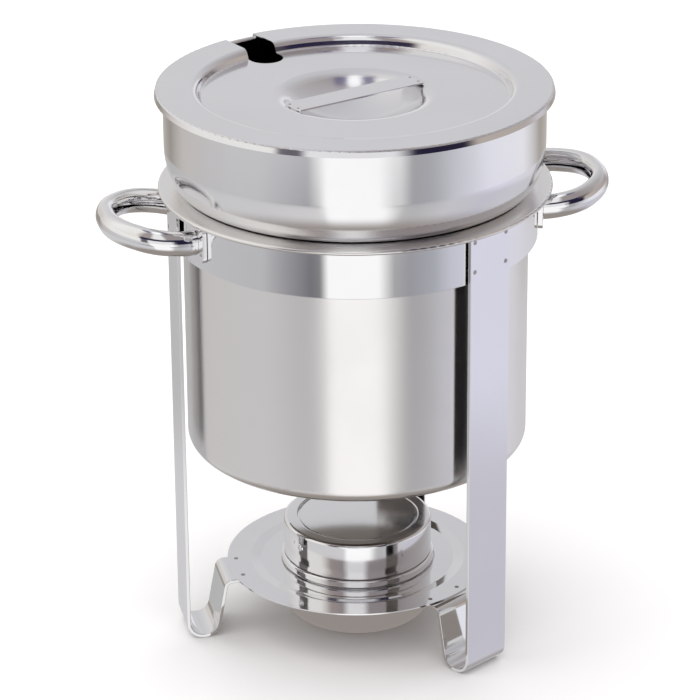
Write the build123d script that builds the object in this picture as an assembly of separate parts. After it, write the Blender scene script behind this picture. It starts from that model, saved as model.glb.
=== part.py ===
from build123d import *

import math
import os

# A seven-quart soup kettle: a food pan in a water pan on a three-legged stand, over a fuel burner.
# Millimetres, +Z up. The origin is on the ground under the kettle's axis, +X through a handle.

# Sheet thicknesses, clearances and the rounding of cut edges
PAN_SHEET = 0.8
BAND_SHEET = 1.0
LEG_SHEET = 2.2
REST_GAP = 0.2
WELD_CLEARANCE = 0.05
EDGE_ROUNDING = 0.35

# Lid
LID_TOP = 352.0
LID_RADIUS = 120.0
LID_SKIRT = 4.0
LID_FLARE = 1.0
LID_FLANGE_INNER = 95.0
LID_FLOOR = 345.8
LID_FLOOR_RADIUS = 92.8
LID_BENDS = (1.2, 4.5, 1.2, 14.0, 60.0)
DISH_RADIUS = 44.1
DISH_BOTTOM_RADIUS = 23.5
DISH_BOTTOM = 329.3
NOTCH_ANGLE = 109.7
NOTCH_OFFSET = 5.4
NOTCH_WIDTH = 21.2
NOTCH_END = 88.0
STRAP_ANGLE = 19.0
STRAP_WIDTH = 17.2
STRAP_REACH = 45.0
STRAP_SHEET = 1.0
STRAP_BOTTOM = LID_FLOOR - 0.2
STRAP_WELD_REACH = 43.6
STRAP_WELD_OFFSET = 4.5
STRAP_WELD_RADIUS = 0.9

# Food pan
FOOD_RADIUS = 115.0
FOOD_RIM = 349.2
FOOD_BEAD = 1.8
FOOD_BULGE = 46.7
FOOD_SHOULDER_RADIUS = 107.2
FOOD_SHOULDER_RISE = 16.4
FOOD_NECK_RADIUS = 97.6
FOOD_BOTTOM = 140.0
FOOD_BENDS = (14.0, 2.0, 12.0, FOOD_BULGE)

# Water pan
WATER_RADIUS = 105.0
WATER_BOTTOM = 123.0
WATER_FLANGE_TOP = 291.0
WATER_FLANGE_RADIUS = 119.3
WATER_BEAD = 1.4
WATER_BENDS = (8.0, 1.2)
FOOD_SEAT = WATER_FLANGE_TOP - 1.3

# Stand
BAND_RADIUS = 110.6
BAND_BOTTOM = 258.0
BAND_TOP = WATER_FLANGE_TOP - PAN_SHEET - REST_GAP
LEG_ANGLES = {"leg_left": 177.5, "leg_front": -60.8, "leg_back": 60.0}
LEG_WIDTH = 33.0
LEG_FACE = 113.0
LEG_TOP = BAND_TOP - 0.4
FOOT_WIDTH = 20.0
FOOT_BEND = 10.4
FOOT_SLANT = 6.7
TONGUE_BEND = 3.5
TONGUE_END = 69.0
LEG_WELD_OFFSET = 13.0
LEG_WELD_HEIGHTS = (266.3, 284.7)
WELD_RADIUS = 1.3

# Burner plate
PLATE_TOP = 38.7
PLATE_RADIUS = 82.3
PLATE_STEP_OUTER = 67.5
PLATE_STEP_INNER = 61.0
PLATE_RECESS = 37.8
PLATE_HOLE = 46.9
PLATE_LIP = 2.6
PLATE_BENDS = (6.0, 6.0, 1.8)
PLATE_WELD_RADIUS = 77.0
PLATE_WELD_ANGLE = 8.7

# Handles
HANDLE_ANGLES = {"left_handle": 180.0, "right_handle": 0.0}
HANDLE_ROOT = 104.0
HANDLE_HEIGHT = 274.3
HANDLE_RISE = 8.0
HANDLE_REACH = 49.4
HANDLE_HALF_SPAN = 38.8
HANDLE_SECTION_WIDTH = 11.3
HANDLE_SECTION_HEIGHT = 15.4
HANDLE_SHEET = 1.2
HANDLE_SLOT = 4.0
HANDLE_LIP_ROUNDING = 0.4
HANDLE_END = (-8.0, HANDLE_HALF_SPAN - 9.5)
HANDLE_NECK = (10.5, HANDLE_HALF_SPAN - 0.8)
HANDLE_SHOULDER = (28.5, HANDLE_HALF_SPAN - 1.0)
HANDLE_TIP = (HANDLE_REACH, 17.4)
HANDLE_BENDS = (32.0, 26.0, 34.0)
TAB_INNER_ANGLE = 13.6
TAB_OUTER_ANGLE = 22.9
TAB_SHEET = 3.0
TAB_BOTTOM = 263.5
TAB_TOP = 286.0
TAB_GAP = 0.2
TAB_CORNER = 4.0
TAB_WELD_RADIUS = 0.9
TAB_WELD_ANGLE = 21.8
TAB_WELD_HEIGHTS = (269.4, 279.4)

# Burner
BURNER_RADIUS = 46.4
CUP_BOTTOM = 2.2
CUP_BENDS = (11.5, 2.0, 2.0)
CUP_NECK_RADIUS = 45.5
CUP_NECK_BOTTOM = 42.4
CUP_NECK_TOP = 62.0
CUP_NECK_TAPER = 2.0
CUP_BEAD_RADIUS = 48.0
CUP_BEAD_ROUNDING = 1.6
CUP_BEAD_TOP = 43.8
COLLAR_BOTTOM = 44.3
COLLAR_TOP = 67.5
COLLAR_BENDS = (2.4, 0.95, 0.3)
MOUTH_RADIUS = 37.8
LEDGE_RADIUS = 34.5
LEDGE_TOP = 65.9
COVER_RADIUS = 36.8
COVER_SHEET = 0.9
COVER_OFFSET = 0.5
COVER_OFFSET_ANGLE = 15.0
RIVET_ANGLES = (-155.0, 25.0)
RIVET_HEIGHT = 58.0
RIVET_HEAD = 2.6
RIVET_DOME = 1.3
RIVET_SHANK = 1.2
RIVET_LENGTH = 2.6

os.makedirs("parts", exist_ok=True)


def unit(vector):
    """A vector of length one."""
    length = math.hypot(*vector)
    return (vector[0] / length, vector[1] / length)


def left_of(direction):
    """The direction a quarter turn to the left."""
    return (-direction[1], direction[0])


def offset_corner(corner, before, after, distance):
    """A corner of an outline moved to the left by a distance, given the runs before and after it."""
    left_before = left_of(before)
    left_after = left_of(after)
    scale = distance / (1 + left_before[0] * left_after[0] + left_before[1] * left_after[1])
    return (
        corner[0] + scale * (left_before[0] + left_after[0]),
        corner[1] + scale * (left_before[1] + left_after[1]),
    )


def rounded_line(corners, radii):
    """A line through corners, each inner one rounded by its radius."""
    if len(corners) == 2:
        return Polyline(*corners)
    return FilletPolyline(*corners, radius=list(radii))


def sheet_section(corners, radii, thickness, bead=0.0):
    """The section of bent sheet metal: an outline of one side, with the thickness to its left.

    A bead closes the last end with a roll of that radius on the right-hand side.
    """
    runs = [unit((b[0] - a[0], b[1] - a[1])) for a, b in zip(corners, corners[1:])]
    befores = [runs[0]] + runs
    afters = runs + [runs[-1]]
    other_side = [
        offset_corner(corner, before, after, thickness)
        for corner, before, after in zip(corners, befores, afters)
    ]
    other_radii = []
    for radius, before, after in zip(radii, runs, runs[1:]):
        turns_left = before[0] * after[1] - before[1] * after[0] > 0
        other_radii.append(radius - thickness if turns_left else radius + thickness)
    near_side = list(corners)
    end = other_side[-1]
    if bead:
        run = runs[-1]
        right = (-left_of(run)[0], -left_of(run)[1])
        back = math.sqrt(bead**2 - (bead - thickness) ** 2)
        last = near_side[-1]
        near_side[-1] = (last[0] - back * run[0], last[1] - back * run[1])
        far = (end[0] + 2 * bead * right[0], end[1] + 2 * bead * right[1])
        closing = ThreePointArc(near_side[-1], far, end)
    else:
        closing = Line(near_side[-1], end)
    edges = [
        *rounded_line(near_side, radii).edges(),
        *closing.edges(),
        *rounded_line(other_side, other_radii).edges(),
        Line(other_side[0], near_side[0]),
    ]
    return make_face(edges)


def spun(section):
    """A section in radius and height turned round the Z axis."""
    return revolve(Plane.XZ * section, axis=Axis.Z)


def turned(shape, angle):
    """A shape turned about the Z axis by an angle in degrees."""
    return Rot(0, 0, angle) * shape


def along_x(radius, start, end, y, z):
    """A cylinder parallel to X from start to end."""
    cylinder = Cylinder(radius, end - start, align=(Align.CENTER, Align.CENTER, Align.MIN))
    return Pos(start, y, z) * Rot(0, 90, 0) * cylinder


def upright(radius, bottom, top, x=0.0, y=0.0):
    """A vertical cylinder from bottom to top."""
    cylinder = Cylinder(radius, top - bottom, align=(Align.CENTER, Align.CENTER, Align.MIN))
    return Pos(x, y, bottom) * cylinder


def polar(radius, angle):
    """X and Y of a point at a radius and an angle in degrees."""
    return radius * math.cos(math.radians(angle)), radius * math.sin(math.radians(angle))


def make_stand_band():
    """The ring that carries the water pan by its flange."""
    band = upright(BAND_RADIUS, BAND_BOTTOM, BAND_TOP)
    band -= upright(BAND_RADIUS - BAND_SHEET, BAND_BOTTOM, BAND_TOP)
    return fillet(band.edges().filter_by(GeomType.CIRCLE), EDGE_ROUNDING)


def make_leg():
    """One leg at +X: a flat strip with a U foot and a tongue under the burner plate."""
    tongue_under = PLATE_TOP - PAN_SHEET - LEG_SHEET
    foot_inner = LEG_FACE - FOOT_WIDTH
    corners = [
        (TONGUE_END, tongue_under),
        (foot_inner - FOOT_SLANT, tongue_under),
        (foot_inner, 0),
        (LEG_FACE, 0),
        (LEG_FACE, LEG_TOP),
    ]
    section = sheet_section(corners, (TONGUE_BEND, FOOT_BEND, FOOT_BEND), LEG_SHEET)
    leg = extrude(Plane.XZ * section, LEG_WIDTH / 2, both=True)
    sides = leg.faces().sort_by(Axis.Y)
    leg = fillet(sides[0].edges() + sides[-1].edges(), EDGE_ROUNDING)
    for weld in leg_welds(WELD_RADIUS + WELD_CLEARANCE) + plate_welds(WELD_RADIUS + WELD_CLEARANCE):
        leg -= weld
    return leg


def leg_welds(radius):
    """The four spot welds between the leg at +X and the band."""
    inner_end = LEG_FACE - LEG_SHEET - 0.7
    return [
        along_x(radius, inner_end, LEG_FACE + 0.1, side * LEG_WELD_OFFSET, height)
        for side in (-1, 1)
        for height in LEG_WELD_HEIGHTS
    ]


def plate_welds(radius):
    """The two spot welds between the burner plate and the tongue of the leg at +X."""
    welds = []
    for side in (-1, 1):
        x, y = polar(PLATE_WELD_RADIUS, side * PLATE_WELD_ANGLE)
        welds.append(upright(radius, PLATE_TOP - PAN_SHEET - LEG_SHEET + 0.5, PLATE_TOP + 0.15, x, y))
    return welds


def make_burner_plate():
    """The round plate that holds the burner, with a turned-down hole edge."""
    corners = [
        (PLATE_RADIUS, PLATE_TOP),
        (PLATE_STEP_OUTER, PLATE_TOP),
        (PLATE_STEP_INNER, PLATE_RECESS),
        (PLATE_HOLE, PLATE_RECESS),
        (PLATE_HOLE, PLATE_RECESS - PLATE_LIP),
    ]
    plate = spun(sheet_section(corners, PLATE_BENDS, PAN_SHEET))
    for angle in LEG_ANGLES.values():
        for weld in plate_welds(WELD_RADIUS + WELD_CLEARANCE):
            plate -= turned(weld, angle)
    return plate


def handle_plane():
    """The plane of the handle at +X: its x runs outward and up, its y sideways."""
    rise = math.radians(HANDLE_RISE)
    return Plane(
        origin=(HANDLE_ROOT, 0, HANDLE_HEIGHT),
        x_dir=(math.cos(rise), 0, math.sin(rise)),
        z_dir=(-math.sin(rise), 0, math.cos(rise)),
    )


def handle_section(path):
    """The handle's slit oval tube section at the start of its path, its slot towards the loop."""
    plane = Plane(origin=path @ 0, x_dir=handle_plane().z_dir, z_dir=path % 0)
    half_height = HANDLE_SECTION_HEIGHT / 2
    half_width = HANDLE_SECTION_WIDTH / 2
    outer = Ellipse(half_height, half_width)
    inner = Ellipse(half_height - HANDLE_SHEET, half_width - HANDLE_SHEET)
    slot = Pos(0, -HANDLE_SECTION_WIDTH / 2) * Rectangle(HANDLE_SLOT, 4 * HANDLE_SHEET)
    tube = outer - inner - slot
    lips = [v for v in tube.vertices() if abs(abs(v.X) - HANDLE_SLOT / 2) < 0.01]
    return plane * fillet(lips, HANDLE_LIP_ROUNDING)


def make_handle():
    """The handle at +X: a slit oval tube bent into a loop, its ends cut to the tabs' outer face."""
    half_loop = [HANDLE_END, HANDLE_NECK, HANDLE_SHOULDER, HANDLE_TIP]
    corners = [(x, -y) for x, y in half_loop] + half_loop[::-1]
    flat_path = FilletPolyline(*corners, radius=[*HANDLE_BENDS, *HANDLE_BENDS[::-1]])
    path = handle_plane() * flat_path
    handle = sweep(handle_section(path), path=path)
    tab_face = BAND_RADIUS + TAB_GAP + TAB_SHEET
    return handle - upright(tab_face + 0.1, BAND_BOTTOM - 20, BAND_TOP + 20)


def make_tab(side):
    """The weld tab at one end of the handle at +X, curved to the band."""
    ring = upright(BAND_RADIUS + TAB_GAP + TAB_SHEET, TAB_BOTTOM, TAB_TOP)
    ring -= upright(BAND_RADIUS + TAB_GAP, TAB_BOTTOM, TAB_TOP)
    middle = (TAB_INNER_ANGLE + TAB_OUTER_ANGLE) / 2
    width = 2 * (BAND_RADIUS + TAB_SHEET) * math.sin(math.radians(TAB_OUTER_ANGLE - middle))
    block = Box(20, width, TAB_TOP - TAB_BOTTOM)
    block = fillet(block.edges().filter_by(Axis.X), TAB_CORNER)
    block = Pos(BAND_RADIUS, 0, (TAB_BOTTOM + TAB_TOP) / 2) * block
    tab = ring & turned(block, side * middle)
    outer_face = tab.faces().sort_by(SortBy.AREA)[-1]
    tab = fillet(outer_face.edges(), EDGE_ROUNDING)
    for weld in tab_welds(side, TAB_WELD_RADIUS + WELD_CLEARANCE):
        tab -= weld
    return tab


def tab_welds(side, radius):
    """The two spot welds that hold one tab of the handle at +X to the band."""
    welds = []
    for height in TAB_WELD_HEIGHTS:
        outer_end = BAND_RADIUS + TAB_GAP + TAB_SHEET + 0.15
        weld = along_x(radius, BAND_RADIUS + 0.05, outer_end, 0, height)
        welds.append(turned(weld, side * TAB_WELD_ANGLE))
    return welds


def make_water_pan():
    """The deep pan for hot water, hung in the band by a flange with a rolled edge."""
    flange_under = WATER_FLANGE_TOP - PAN_SHEET
    corners = [
        (0, WATER_BOTTOM),
        (WATER_RADIUS, WATER_BOTTOM),
        (WATER_RADIUS, flange_under),
        (WATER_FLANGE_RADIUS - WATER_BEAD, flange_under),
    ]
    return spun(sheet_section(corners, WATER_BENDS, PAN_SHEET, bead=WATER_BEAD))


def make_food_pan():
    """The food pan: a wide bulging top that seats in the water pan's mouth, and a deep body."""
    corners = [
        (0, FOOD_BOTTOM),
        (FOOD_NECK_RADIUS, FOOD_BOTTOM),
        (FOOD_NECK_RADIUS, FOOD_SEAT),
        (FOOD_SHOULDER_RADIUS, FOOD_SEAT),
        (FOOD_RADIUS, FOOD_SEAT + FOOD_SHOULDER_RISE),
        (FOOD_RADIUS, FOOD_RIM),
    ]
    return spun(sheet_section(corners, FOOD_BENDS, PAN_SHEET, bead=FOOD_BEAD))


def notch_cutter():
    """The ladle notch in the lid: a slot from the rim inwards with a half-round end."""
    depth = 40.0
    slot = Box(60, NOTCH_WIDTH, depth, align=(Align.MIN, Align.CENTER, Align.CENTER))
    slot += upright(NOTCH_WIDTH / 2, -depth / 2, depth / 2)
    return turned(Pos(NOTCH_END, NOTCH_OFFSET, LID_TOP) * slot, NOTCH_ANGLE)


def make_lid():
    """The lid: a flat rim with a flared edge, a sunk floor and a bowl-shaped finger dish."""
    corners = [
        (LID_RADIUS, LID_TOP - LID_SKIRT),
        (LID_RADIUS - LID_FLARE, LID_TOP),
        (LID_FLANGE_INNER, LID_TOP),
        (LID_FLOOR_RADIUS, LID_FLOOR),
        (DISH_RADIUS, LID_FLOOR),
        (DISH_BOTTOM_RADIUS, DISH_BOTTOM),
        (0, DISH_BOTTOM),
    ]
    lid = spun(sheet_section(corners, LID_BENDS, PAN_SHEET))
    lid -= notch_cutter()
    for weld in strap_welds(STRAP_WELD_RADIUS + WELD_CLEARANCE):
        lid -= weld
    return lid


def strap_welds(radius):
    """The four spot welds at the ends of the lid's grip strap."""
    welds = []
    for end in (-1, 1):
        for side in (-1, 1):
            weld = upright(
                radius,
                STRAP_BOTTOM - PAN_SHEET,
                STRAP_BOTTOM + STRAP_SHEET + 0.1,
                end * math.sqrt(STRAP_WELD_REACH**2 - STRAP_WELD_OFFSET**2),
                side * STRAP_WELD_OFFSET,
            )
            welds.append(turned(weld, STRAP_ANGLE))
    return welds


def make_lid_strap():
    """The flat grip strap across the lid's finger dish."""
    strap = Box(
        2 * STRAP_REACH + 4,
        STRAP_WIDTH,
        STRAP_SHEET,
        align=(Align.CENTER, Align.CENTER, Align.MIN),
    )
    strap = Pos(0, 0, STRAP_BOTTOM) * strap & upright(STRAP_REACH, LID_FLOOR - 1, LID_FLOOR + 5)
    strap = turned(fillet(strap.faces().sort_by(Axis.Z)[-1].edges(), EDGE_ROUNDING), STRAP_ANGLE)
    for weld in strap_welds(STRAP_WELD_RADIUS + WELD_CLEARANCE):
        strap -= weld
    return strap


def make_rivet():
    """A rivet along +X, its domed head seated at x = 0 and its shank behind."""
    dome = (RIVET_HEAD**2 + RIVET_DOME**2) / (2 * RIVET_DOME)
    middle = (RIVET_HEAD / 2, RIVET_DOME - dome + math.sqrt(dome**2 - RIVET_HEAD**2 / 4))
    head = make_face(
        [
            Line((0, 0), (RIVET_HEAD, 0)),
            ThreePointArc((RIVET_HEAD, 0), middle, (0, RIVET_DOME)),
            Line((0, RIVET_DOME), (0, 0)),
        ]
    )
    return Rot(0, 90, 0) * (spun(head) + upright(RIVET_SHANK, -RIVET_LENGTH, 0.2))


def make_rivets():
    """The rivets that hold the burner's collar to the cup's neck."""
    rivet = Pos(BURNER_RADIUS + 0.1, 0, RIVET_HEIGHT) * make_rivet()
    return [turned(rivet, angle) for angle in RIVET_ANGLES]


def rivet_holes():
    """The holes for the rivets' shanks."""
    return [
        turned(along_x(RIVET_SHANK + WELD_CLEARANCE, 40, 50, 0, RIVET_HEIGHT), angle)
        for angle in RIVET_ANGLES
    ]


def make_burner_cup():
    """The fuel cup: it hangs in the plate by a bead below its neck."""
    corners = [
        (0, CUP_BOTTOM),
        (BURNER_RADIUS, CUP_BOTTOM),
        (BURNER_RADIUS, CUP_NECK_BOTTOM - CUP_NECK_TAPER),
        (CUP_NECK_RADIUS, CUP_NECK_BOTTOM),
        (CUP_NECK_RADIUS, CUP_NECK_TOP),
    ]
    section = sheet_section(corners, CUP_BENDS, PAN_SHEET)
    bead_bottom = PLATE_RECESS + REST_GAP
    bead_inner = CUP_NECK_RADIUS - PAN_SHEET / 2
    bead_width = CUP_BEAD_RADIUS - bead_inner
    bead_height = CUP_BEAD_TOP - bead_bottom
    bead = Rectangle(bead_width, bead_height, align=(Align.MIN, Align.MIN))
    bead = fillet(bead.vertices().sort_by(Axis.X)[-2:], CUP_BEAD_ROUNDING)
    cup = spun(section + Pos(bead_inner, bead_bottom) * bead)
    for hole in rivet_holes():
        cup -= hole
    return cup


def make_burner_collar():
    """The collar that caps the cup, with a mouth and a ledge for the cover."""
    corners = [
        (BURNER_RADIUS, COLLAR_BOTTOM),
        (BURNER_RADIUS, COLLAR_TOP),
        (MOUTH_RADIUS, COLLAR_TOP),
        (MOUTH_RADIUS, LEDGE_TOP),
        (LEDGE_RADIUS, LEDGE_TOP),
    ]
    collar = spun(sheet_section(corners, COLLAR_BENDS, PAN_SHEET))
    for hole in rivet_holes():
        collar -= hole
    return collar


def make_burner_cover():
    """The loose disc that closes the collar's mouth and puts the flame out."""
    x, y = polar(COVER_OFFSET, COVER_OFFSET_ANGLE)
    bottom = LEDGE_TOP + REST_GAP
    disc = upright(COVER_RADIUS, bottom, bottom + COVER_SHEET)
    return Pos(x, y, 0) * fillet(disc.edges().filter_by(GeomType.CIRCLE), 0.2)


def write(node, *solids):
    """Write one node's solids to its own file."""
    shape = solids[0] if len(solids) == 1 else Compound(children=list(solids))
    export_step(shape, f"parts/{node}.step")


write("stand_band", make_stand_band())
leg = make_leg()
for name, angle in LEG_ANGLES.items():
    write(name, turned(leg, angle))
write(
    "leg_spot_welds",
    *[turned(weld, angle) for angle in LEG_ANGLES.values() for weld in leg_welds(WELD_RADIUS)],
)
write("burner_plate", make_burner_plate())
write(
    "plate_spot_welds",
    *[turned(weld, angle) for angle in LEG_ANGLES.values() for weld in plate_welds(WELD_RADIUS)],
)

handle = make_handle()
for name, angle in HANDLE_ANGLES.items():
    write(name, turned(handle, angle))
    for side in (-1, 1):
        end = "front" if side * math.cos(math.radians(angle)) < 0 else "back"
        write(f"{name}_{end}_tab", turned(make_tab(side), angle))
write(
    "tab_spot_welds",
    *[
        turned(weld, angle)
        for angle in HANDLE_ANGLES.values()
        for side in (-1, 1)
        for weld in tab_welds(side, TAB_WELD_RADIUS)
    ],
)

write("water_pan", make_water_pan())
write("food_pan", make_food_pan())
write("lid", make_lid())
write("lid_strap", make_lid_strap())
write("strap_spot_welds", *strap_welds(STRAP_WELD_RADIUS))
write("burner_cup", make_burner_cup())
write("burner_collar", make_burner_collar())
write("burner_rivets", *make_rivets())
write("burner_cover", make_burner_cover())
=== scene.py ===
import math

import bpy
from mathutils import Matrix

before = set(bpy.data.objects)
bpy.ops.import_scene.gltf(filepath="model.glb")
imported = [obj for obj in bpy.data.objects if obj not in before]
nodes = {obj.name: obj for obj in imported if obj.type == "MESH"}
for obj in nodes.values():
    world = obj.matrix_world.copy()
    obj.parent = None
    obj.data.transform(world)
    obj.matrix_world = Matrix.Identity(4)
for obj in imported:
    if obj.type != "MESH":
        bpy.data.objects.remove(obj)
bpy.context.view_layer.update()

# Lengths are in metres, angles in degrees and colours in linear RGB.

# The studio is turned about the kettle: the camera stands on the studio's -Y side.
STUDIO_TURN = -15.0

# Camera, in the studio's frame
CAMERA_PLACE = (0.0, -1.9121, 0.9956)
CAMERA_TILT = 66.879
CAMERA_YAW = 0.1165
CAMERA_ROLL = -0.4085
CAMERA_LENS = 173.2
CAMERA_SENSOR = 36.0

# Overhead softbox
OVERHEAD_HEIGHT = 3.0
OVERHEAD_SIZE = 7.0
OVERHEAD_POWER = 210.0

# Floor, which lies a hair under the feet
FLOOR_HALF = 12.0
FLOOR_HEIGHT = -0.0002
FLOOR_COLOUR = (0.86, 0.86, 0.86)
FLOOR_ROUGHNESS = 0.6
FLOOR_SHINE = 0.2

# Disc glowing in the colour of the floor's shade under the burner: a painted shadow for the steel to reflect
SHADE_RADIUS = 0.10
SHADE_HEIGHT = 0.0004
SHADE_STEPS = 48

# What the steel sees round the studio: colours by direction in degrees, 0 towards the camera and
# + to its right. Each ring holds for one band of heights, from below the horizon to overhead.
BELOW_COLOUR = (0.34, 0.305, 0.28)
FLOOR_RING = (
    (-180, (0.60, 0.59, 0.59)), (-150, (0.66, 0.66, 0.68)), (-120, (0.70, 0.69, 0.69)),
    (-60, (0.68, 0.67, 0.68)), (-30, (0.72, 0.70, 0.71)), (-22, (0.74, 0.73, 0.73)),
    (-16, (1.14, 1.13, 1.13)), (18, (1.14, 1.13, 1.13)), (30, (0.56, 0.55, 0.55)),
    (38, (0.53, 0.52, 0.53)), (60, (0.64, 0.63, 0.66)), (90, (0.62, 0.61, 0.68)),
    (120, (0.66, 0.65, 0.70)), (180, (0.60, 0.59, 0.59)),
)
STRIPE_RING = (
    (-180, (0.60, 0.59, 0.58)), (-150, (0.50, 0.50, 0.50)), (-120, (0.60, 0.59, 0.60)),
    (-60, (0.54, 0.54, 0.55)), (-44, (0.34, 0.34, 0.36)), (-28, (0.18, 0.18, 0.20)),
    (-22, (0.22, 0.22, 0.23)), (-17, (1.12, 1.11, 1.10)), (14, (1.12, 1.11, 1.10)),
    (24, (0.42, 0.41, 0.42)), (34, (0.36, 0.36, 0.39)), (50, (0.44, 0.45, 0.49)),
    (62, (0.62, 0.62, 0.70)), (95, (0.80, 0.79, 0.91)), (125, (0.78, 0.77, 0.84)),
    (180, (0.60, 0.59, 0.58)),
)
WALL_RING = (
    (-180, (0.62, 0.58, 0.55)), (-145, (0.34, 0.31, 0.28)), (-125, (0.60, 0.56, 0.53)),
    (-80, (0.66, 0.65, 0.66)), (-40, (0.68, 0.67, 0.69)), (-28, (0.66, 0.65, 0.67)),
    (-22, (1.16, 1.15, 1.15)), (26, (1.12, 1.11, 1.11)), (34, (0.44, 0.43, 0.44)),
    (44, (0.44, 0.44, 0.46)), (60, (0.62, 0.62, 0.66)), (85, (0.90, 0.90, 0.97)),
    (120, (0.92, 0.91, 0.95)), (145, (0.40, 0.36, 0.32)), (180, (0.62, 0.58, 0.55)),
)
LEVEL_RING = (
    (-180, (0.85, 0.84, 0.84)), (-140, (0.70, 0.66, 0.62)), (-100, (0.94, 0.92, 0.89)),
    (-46, (0.96, 0.94, 0.91)), (-42, (0.16, 0.15, 0.17)), (-31, (0.14, 0.13, 0.16)),
    (-26, (0.92, 0.91, 0.91)), (22, (0.92, 0.91, 0.92)), (33, (0.02, 0.016, 0.04)),
    (64, (0.02, 0.016, 0.04)), (72, (0.54, 0.48, 0.43)), (100, (0.52, 0.46, 0.42)),
    (140, (0.42, 0.38, 0.40)), (155, (0.86, 0.86, 0.92)), (180, (0.85, 0.84, 0.84)),
)
RAISED_RING = (
    (-180, (0.70, 0.695, 0.71)), (-130, (0.80, 0.78, 0.76)), (-100, (0.95, 0.93, 0.90)),
    (-52, (0.88, 0.85, 0.80)), (-44, (0.03, 0.024, 0.055)), (-15, (0.02, 0.016, 0.05)),
    (50, (0.02, 0.016, 0.05)), (66, (0.16, 0.14, 0.14)), (90, (0.42, 0.37, 0.34)),
    (130, (0.55, 0.52, 0.52)), (180, (0.70, 0.695, 0.71)),
)
HIGH_RING = (
    (-180, (0.65, 0.65, 0.67)), (-130, (0.80, 0.78, 0.77)), (-100, (0.98, 0.97, 0.94)),
    (-60, (0.94, 0.92, 0.88)), (-42, (0.42, 0.36, 0.34)), (-24, (0.36, 0.32, 0.32)),
    (-14, (0.95, 0.94, 0.94)), (8, (0.95, 0.94, 0.94)), (18, (0.36, 0.32, 0.32)),
    (60, (0.34, 0.30, 0.30)), (120, (0.46, 0.43, 0.43)), (180, (0.65, 0.65, 0.67)),
)
DISH_RING = (
    (-180, (0.70, 0.69, 0.71)), (-135, (0.62, 0.60, 0.60)), (-112, (0.20, 0.19, 0.28)),
    (-50, (0.16, 0.15, 0.26)), (-25, (1.10, 1.10, 1.10)), (25, (1.10, 1.10, 1.10)),
    (50, (0.14, 0.13, 0.24)), (112, (0.18, 0.16, 0.26)), (135, (0.50, 0.46, 0.45)),
    (180, (0.70, 0.69, 0.71)),
)
TOP_COLOUR = (1.25, 1.25, 1.25)

# The rings from the lowest up, each with the heights over which it takes over from what is below
# it. A height is the Z of a direction of length 1.
RINGS = (
    ((-0.86, -0.60), FLOOR_RING),
    ((-0.43, -0.40), STRIPE_RING),
    ((-0.36, -0.34), WALL_RING),
    ((-0.16, -0.06), LEVEL_RING),
    ((0.17, 0.26), RAISED_RING),
    ((0.39, 0.45), HIGH_RING),
    ((0.94, 0.965), DISH_RING),
)
TOP_CHANGE = (0.989, 0.996)

# Base colours of the steels
BRIGHT_STEEL = (0.86, 0.86, 0.87)
LID_STEEL = (0.84, 0.84, 0.86)
SATIN_STEEL = (0.86, 0.85, 0.84)
WELD_STEEL = (0.42, 0.39, 0.37)
TACK_STEEL = (0.55, 0.53, 0.51)
# Painted shade for the water pan's underside
UNDERSIDE_SHADE_STEEL = (0.30, 0.27, 0.24)

# Smudges that all the steels share: how dark and how uneven they make the polish
SMUDGE_SCALE = 9.0
SMUDGE_DETAIL = 5.0
SMUDGE_SHADE = 0.95
SMUDGE_ROUGHNESS = (0.85, 1.15)

# Unevenness of the sheet, as noise of this scale
WAVE_SCALE = 22.0
WAVE_DETAIL = 1.0

# Polishing marks round the axis: spacing by angle and by length, and depth at full brushing
MARKS_AROUND = 1.2
MARKS_ACROSS = 2500.0
MARKS_DETAIL = 3.0
MARKS_DEPTH = 0.0004
GRAIN = 0.6

# Heights between which the water pan's underside turns from a painted shade, darker and duller, to bright
WATER_PAN_SHADE_HEIGHTS = (0.1231, 0.1239)
UNDERSIDE_DULLNESS = 0.12

# Radii between which the lid turns from the duller dish to the bright flat
DISH_EDGE = (0.040, 0.047)
DISH_DULLNESS = 0.06

# Radii of the tight bend at the lid's top edge, where the polish is worn: where the wear starts,
# is full, is last full and ends
RIM_WEAR = (0.1174, 0.1178, 0.1188, 0.1191)
RIM_DULLNESS = 0.30


# ---------------------------------------------------------------- shader nodes

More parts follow.
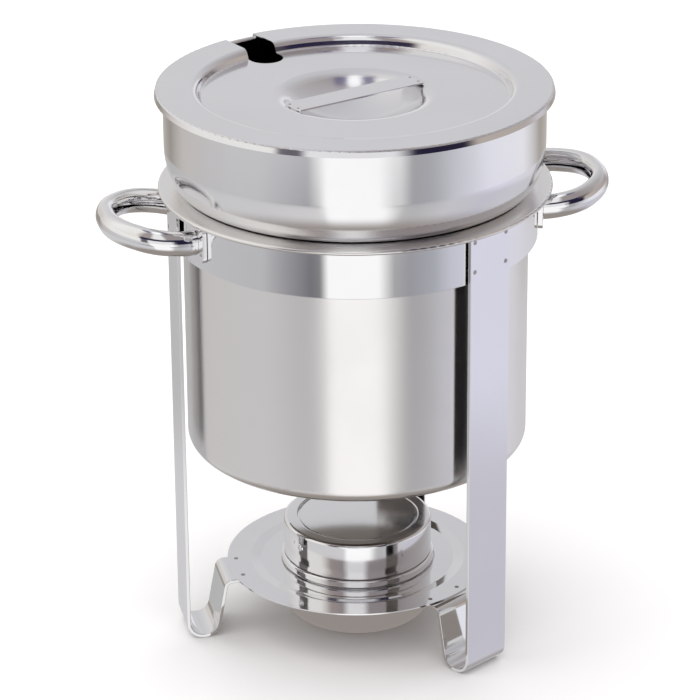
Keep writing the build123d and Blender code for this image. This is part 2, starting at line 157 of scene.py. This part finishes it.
class Nodes:
    """Small helper that adds and links the nodes of one shader tree."""

    def __init__(self, tree):
        self.tree = tree

    def add(self, kind, **settings):
        node = self.tree.nodes.new(kind)
        for name, value in settings.items():
            setattr(node, name, value)
        return node

    def feed(self, socket, value):
        """Link a socket to another one, or set it to a number or a colour."""
        if isinstance(value, tuple):
            socket.default_value = (*value, 1)
        elif isinstance(value, (int, float)):
            socket.default_value = value
        else:
            self.tree.links.new(value, socket)

    def math(self, operation, *values):
        node = self.add("ShaderNodeMath", operation=operation)
        for socket, value in zip(node.inputs, values):
            self.feed(socket, value)
        return node.outputs[0]

    def parts(self, vector):
        """The X, Y and Z of a vector."""
        node = self.add("ShaderNodeSeparateXYZ")
        self.feed(node.inputs[0], vector)
        return node.outputs

    def object_place(self):
        return self.add("ShaderNodeTexCoord").outputs["Object"]

    def radius(self, x, y):
        return self.math("SQRT", self.math("ADD", self.math("MULTIPLY", x, x), self.math("MULTIPLY", y, y)))

    def round_place(self, around, across):
        """A vector of angle about Z, radius and height, with one scale for the angle and one for the rest."""
        x, y, z = self.parts(self.object_place())
        joined = self.add("ShaderNodeCombineXYZ")
        self.feed(joined.inputs[0], self.math("MULTIPLY", self.math("ARCTAN2", y, x), around))
        self.feed(joined.inputs[1], self.math("MULTIPLY", self.radius(x, y), across))
        self.feed(joined.inputs[2], self.math("MULTIPLY", z, across))
        return joined.outputs[0]

    def noise(self, vector, scale, detail, roughness):
        node = self.add("ShaderNodeTexNoise")
        self.feed(node.inputs["Vector"], vector)
        self.feed(node.inputs["Scale"], scale)
        self.feed(node.inputs["Detail"], detail)
        self.feed(node.inputs["Roughness"], roughness)
        return node.outputs["Fac"]

    def ranged(self, value, low, high, start=0.3, end=0.7, interpolation="LINEAR"):
        """Low before the start of a range of values, high after its end and between them in it."""
        node = self.add("ShaderNodeMapRange", interpolation_type=interpolation)
        self.feed(node.inputs["Value"], value)
        self.feed(node.inputs["From Min"], start)
        self.feed(node.inputs["From Max"], end)
        self.feed(node.inputs["To Min"], low)
        self.feed(node.inputs["To Max"], high)
        return node.outputs["Result"]

    def bump(self, height, distance):
        node = self.add("ShaderNodeBump")
        self.feed(node.inputs["Strength"], 1.0)
        self.feed(node.inputs["Distance"], distance)
        self.feed(node.inputs["Height"], height)
        return node

    def mixed(self, amount, first, second):
        """The first colour at amount 0 and the second at amount 1."""
        node = self.add("ShaderNodeMix", data_type="RGBA")
        self.feed(node.inputs["Factor"], amount)
        self.feed(node.inputs["A"], first)
        self.feed(node.inputs["B"], second)
        return node.outputs["Result"]

    def ring(self, stops, direction):
        """A colour ramp round the horizon from stops of direction and colour."""
        ramp = self.add("ShaderNodeValToRGB")
        elements = ramp.color_ramp.elements
        while len(elements) < len(stops):
            elements.new(0.5)
        for element, (angle, colour) in zip(elements, stops):
            element.position = angle / 360 + 0.5
            element.color = (*colour, 1)
        self.feed(ramp.inputs["Fac"], direction)
        return ramp.outputs["Color"]


# ---------------------------------------------------------------- studio

def studio_turn():
    return Matrix.Rotation(math.radians(STUDIO_TURN), 4, "Z")


def place_in_scene(name, data):
    """A new object that holds the data."""
    holder = bpy.data.objects.new(name, data)
    bpy.context.scene.collection.objects.link(holder)
    return holder


def add_camera():
    """The camera, in front of the kettle and above it."""
    camera = place_in_scene("camera", bpy.data.cameras.new("camera"))
    camera.data.lens = CAMERA_LENS
    camera.data.sensor_width = CAMERA_SENSOR
    yaw = Matrix.Rotation(math.radians(CAMERA_YAW), 4, "Z")
    tilt = Matrix.Rotation(math.radians(CAMERA_TILT), 4, "X")
    roll = Matrix.Rotation(math.radians(CAMERA_ROLL), 4, "Z")
    camera.matrix_world = studio_turn() @ Matrix.Translation(CAMERA_PLACE) @ yaw @ tilt @ roll
    bpy.context.scene.camera = camera


def add_overhead():
    """A square softbox over the kettle, left out of the steel's reflections."""
    light = bpy.data.lights.new("overhead", "AREA")
    light.shape = "SQUARE"
    light.size = OVERHEAD_SIZE
    light.energy = OVERHEAD_POWER
    holder = place_in_scene("overhead", light)
    holder.matrix_world = studio_turn() @ Matrix.Translation((0, 0, OVERHEAD_HEIGHT))
    holder.visible_glossy = False


def add_floor():
    """A wide pale floor, left out of the steel's reflections."""
    mesh = bpy.data.meshes.new("floor")
    sides = ((-1, -1), (1, -1), (1, 1), (-1, 1))
    mesh.from_pydata([(FLOOR_HALF * x, FLOOR_HALF * y, 0) for x, y in sides], [], [(0, 1, 2, 3)])
    floor = place_in_scene("floor", mesh)
    floor.location.z = FLOOR_HEIGHT
    material = bpy.data.materials.new("floor")
    material.use_nodes = True
    shader = material.node_tree.nodes["Principled BSDF"]
    shader.inputs["Base Color"].default_value = (*FLOOR_COLOUR, 1)
    shader.inputs["Roughness"].default_value = FLOOR_ROUGHNESS
    shader.inputs["Specular IOR Level"].default_value = FLOOR_SHINE
    mesh.materials.append(material)
    floor.visible_glossy = False


def add_shade():
    """A disc glowing in the colour of the shaded floor under the burner, seen only in the steel's
    reflections: a painted shadow.
    """
    mesh = bpy.data.meshes.new("shade")
    turns = [2 * math.pi * step / SHADE_STEPS for step in range(SHADE_STEPS)]
    rim = [(SHADE_RADIUS * math.cos(turn), SHADE_RADIUS * math.sin(turn), 0) for turn in turns]
    mesh.from_pydata(rim, [], [tuple(range(SHADE_STEPS))])
    shade = place_in_scene("shade", mesh)
    shade.location.z = SHADE_HEIGHT
    material = bpy.data.materials.new("shade")
    material.use_nodes = True
    material.node_tree.nodes.clear()
    net = Nodes(material.node_tree)
    # The glow is the painted shadow's colour
    glow = net.add("ShaderNodeEmission")
    net.feed(glow.inputs["Color"], BELOW_COLOUR)
    net.feed(net.add("ShaderNodeOutputMaterial").inputs["Surface"], glow.outputs["Emission"])
    mesh.materials.append(material)
    shade.visible_camera = False
    shade.visible_diffuse = False
    shade.visible_shadow = False


def set_world():
    """The studio that the steel reflects."""
    world = bpy.data.worlds.new("studio")
    bpy.context.scene.world = world
    world.use_nodes = True
    net = Nodes(world.node_tree)
    turned = net.add("ShaderNodeVectorRotate", rotation_type="Z_AXIS")
    net.feed(turned.inputs["Vector"], net.add("ShaderNodeTexCoord").outputs["Generated"])
    net.feed(turned.inputs["Angle"], -math.radians(STUDIO_TURN))
    x, y, height = net.parts(turned.outputs["Vector"])
    angle = net.math("ARCTAN2", x, net.math("MULTIPLY", y, -1.0))
    direction = net.math("ADD", net.math("DIVIDE", angle, 2 * math.pi), 0.5)
    colour = BELOW_COLOUR
    for change, stops in RINGS:
        rise = net.ranged(height, 0.0, 1.0, *change, interpolation="SMOOTHSTEP")
        colour = net.mixed(rise, colour, net.ring(stops, direction))
    rise = net.ranged(height, 0.0, 1.0, *TOP_CHANGE, interpolation="SMOOTHSTEP")
    net.feed(world.node_tree.nodes["Background"].inputs["Color"], net.mixed(rise, colour, TOP_COLOUR))


# ---------------------------------------------------------------- materials

def lid_dullness(net):
    """How much rougher the lid is in its dish and along its top edge."""
    x, y, _ = net.parts(net.object_place())
    radius = net.radius(x, y)
    start, full, last, end = RIM_WEAR
    starts = net.ranged(radius, 0.0, RIM_DULLNESS, start, full)
    ends = net.ranged(radius, 1.0, 0.0, last, end)
    dish = net.ranged(radius, DISH_DULLNESS, 0.0, *DISH_EDGE)
    return net.math("ADD", dish, net.math("MULTIPLY", starts, ends))


def steel(name, colour, roughness, waviness, brushing=0.0, anisotropy=0.0, shaded_underside=False, lid=False):
    """Stainless steel with polishing marks round the axis, a slight waviness and faint smudges.

    waviness is the depth of the waves and brushing the spread of roughness between the marks.
    Steel with a shaded underside is darkened below a height by painted shade and is duller there, and the
    lid's has duller places of its own.
    """
    material = bpy.data.materials.new(name)
    material.use_nodes = True
    net = Nodes(material.node_tree)
    shader = net.tree.nodes["Principled BSDF"]
    net.feed(shader.inputs["Metallic"], 1.0)
    net.feed(shader.inputs["Anisotropic"], anisotropy)
    net.feed(shader.inputs["Anisotropic Rotation"], 0.25)
    place = net.object_place()
    smudges = net.noise(place, SMUDGE_SCALE, SMUDGE_DETAIL, GRAIN)
    finish = net.mixed(net.ranged(smudges, 0.0, 1.0), colour, tuple(SMUDGE_SHADE * part for part in colour))
    marks = net.noise(net.round_place(MARKS_AROUND, MARKS_ACROSS), 1.0, MARKS_DETAIL, GRAIN)
    least, most = (roughness * spread for spread in SMUDGE_ROUGHNESS)
    rough = net.math("ADD", net.ranged(smudges, least, most), net.ranged(marks, -brushing, brushing))
    if shaded_underside:
        # Painted shade: the water pan's underside is darkened and dulled below a height
        height = net.parts(net.object_place())[2]
        underside_shade = net.ranged(height, 1.0, 0.0, *WATER_PAN_SHADE_HEIGHTS)
        finish = net.mixed(underside_shade, finish, UNDERSIDE_SHADE_STEEL)
        rough = net.math("ADD", rough, net.math("MULTIPLY", underside_shade, UNDERSIDE_DULLNESS))
    if lid:
        rough = net.math("ADD", rough, lid_dullness(net))
    net.feed(shader.inputs["Base Color"], finish)
    net.feed(shader.inputs["Roughness"], rough)
    surface = net.bump(net.noise(place, WAVE_SCALE, WAVE_DETAIL, 0.4), waviness)
    if brushing:
        brushed = net.bump(marks, brushing * MARKS_DEPTH)
        net.feed(brushed.inputs["Normal"], surface.outputs["Normal"])
        surface = brushed
    net.feed(shader.inputs["Normal"], surface.outputs["Normal"])
    if anisotropy:
        tangent = net.add("ShaderNodeTangent", direction_type="RADIAL", axis="Z")
        net.feed(shader.inputs["Tangent"], tangent.outputs[0])
    return material


def dress(material, *names):
    """Put one material on CAD nodes."""
    for name in names:
        for slot in nodes[name].material_slots:
            slot.material = material


def dress_stand():
    """The stand: polished legs, band and plate, smoother handles and tabs, and the larger welds."""
    polished = steel("polished_steel", BRIGHT_STEEL, roughness=0.07, waviness=0.00004)
    handle = steel("handle_steel", BRIGHT_STEEL, roughness=0.07, waviness=0.00003)
    weld = steel("weld_steel", WELD_STEEL, roughness=0.35, waviness=0.0001)
    dress(polished, "stand_band", "leg_left", "leg_front", "leg_back", "burner_plate")
    for side in ("left", "right"):
        dress(handle, f"{side}_handle", f"{side}_handle_front_tab", f"{side}_handle_back_tab")
    dress(weld, "leg_spot_welds", "plate_spot_welds")


def dress_pans():
    """The satin water pan and the polished food pan in it."""
    satin = steel(
        "satin_steel",
        SATIN_STEEL,
        roughness=0.23,
        waviness=0.00002,
        brushing=0.004,
        anisotropy=0.6,
        shaded_underside=True,
    )
    pan = steel("pan_steel", BRIGHT_STEEL, roughness=0.12, waviness=0.00003, brushing=0.004, anisotropy=0.4)
    dress(satin, "water_pan")
    dress(pan, "food_pan")


def dress_lid():
    """The lid and its strap, and the small welds that the strap and the handles' tabs share."""
    finish = {"roughness": 0.11, "waviness": 0.00003, "brushing": 0.004, "anisotropy": 0.2}
    dress(steel("lid_steel", LID_STEEL, lid=True, **finish), "lid")
    dress(steel("strap_steel", LID_STEEL, **finish), "lid_strap")
    tack = steel("tack_steel", TACK_STEEL, roughness=0.30, waviness=0.0001)
    dress(tack, "tab_spot_welds", "strap_spot_welds")


def dress_burner():
    """The burner's cup, collar, rivets and cover."""
    burner = steel("burner_steel", BRIGHT_STEEL, roughness=0.10, waviness=0.00002, brushing=0.004)
    dress(burner, "burner_cup", "burner_collar", "burner_rivets", "burner_cover")


# ---------------------------------------------------------------- scene

add_camera()
set_world()
add_floor()
add_shade()
add_overhead()
dress_stand()
dress_pans()
dress_lid()
dress_burner()

bpy.context.scene.view_settings.view_transform = "Standard"
